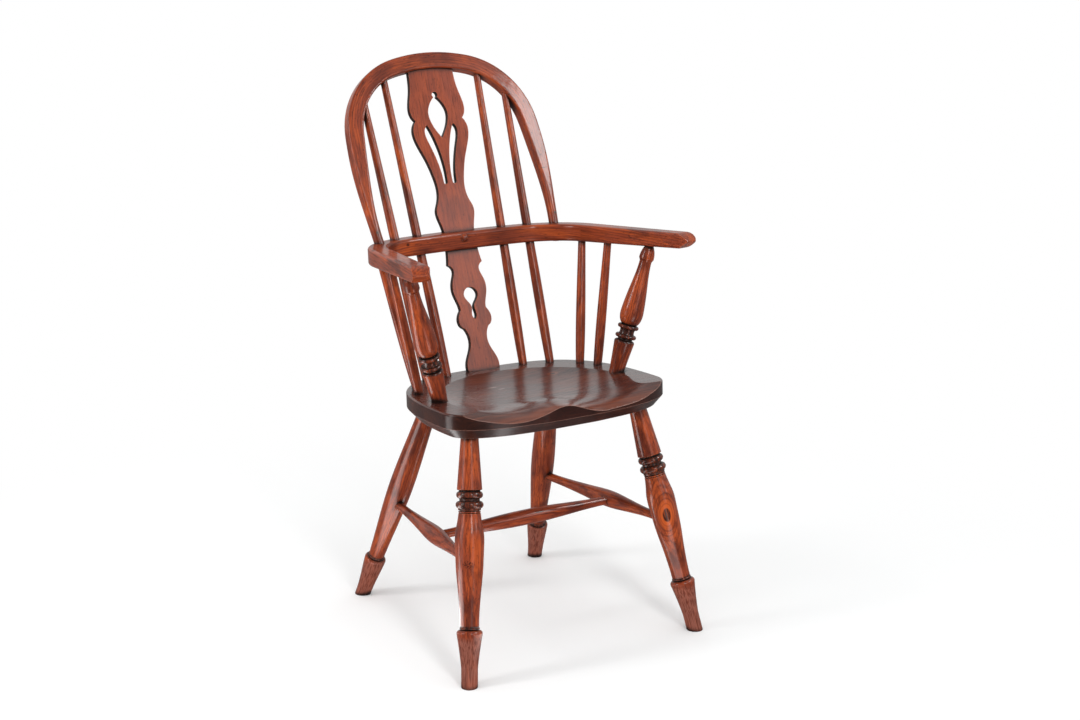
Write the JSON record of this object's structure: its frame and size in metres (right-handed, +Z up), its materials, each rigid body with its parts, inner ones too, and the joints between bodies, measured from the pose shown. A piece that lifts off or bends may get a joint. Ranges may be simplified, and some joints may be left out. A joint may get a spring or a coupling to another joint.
{
  "type": "windsor chair",
  "caption": "Wooden windsor armchair with a hooped back, pierced splat, bent arm bow, turned splayed legs and a saddled seat.",
  "frame": {"origin": "on the floor, under the middle of the chair's outer box", "axes": "+Z up; the sitter faces -Y; +X is the sitter's left hand side, the right hand side seen from the front"},
  "size_m": [0.5452, 0.5484, 0.9678],
  "materials": {
    "seat": "polished elm",
    "turned_parts": "polished yew",
    "bent_parts": "polished yew",
    "splat": "polished yew"
  },
  "bodies": {
    "root": {"arm_bow": "bent_parts", "arm_support_left": "turned_parts", "arm_support_right": "turned_parts", "back_hoop": "bent_parts", "back_leg_left": "turned_parts", "back_leg_right": "turned_parts", "cross_stretcher": "turned_parts", "front_arm_spindle_left": "turned_parts", "front_arm_spindle_right": "turned_parts", "front_leg_left": "turned_parts", "front_leg_right": "turned_parts", "inner_back_spindle_left": "turned_parts", "inner_back_spindle_right": "turned_parts", "lower_splat": "splat", "outer_back_spindle_left": "turned_parts", "outer_back_spindle_right": "turned_parts", "rear_arm_spindle_left": "turned_parts", "rear_arm_spindle_right": "turned_parts", "seat": "seat", "side_stretcher_left": "turned_parts", "side_stretcher_right": "turned_parts", "splat_peg": "turned_parts", "upper_splat": "splat"}
  },
  "joints": []
}
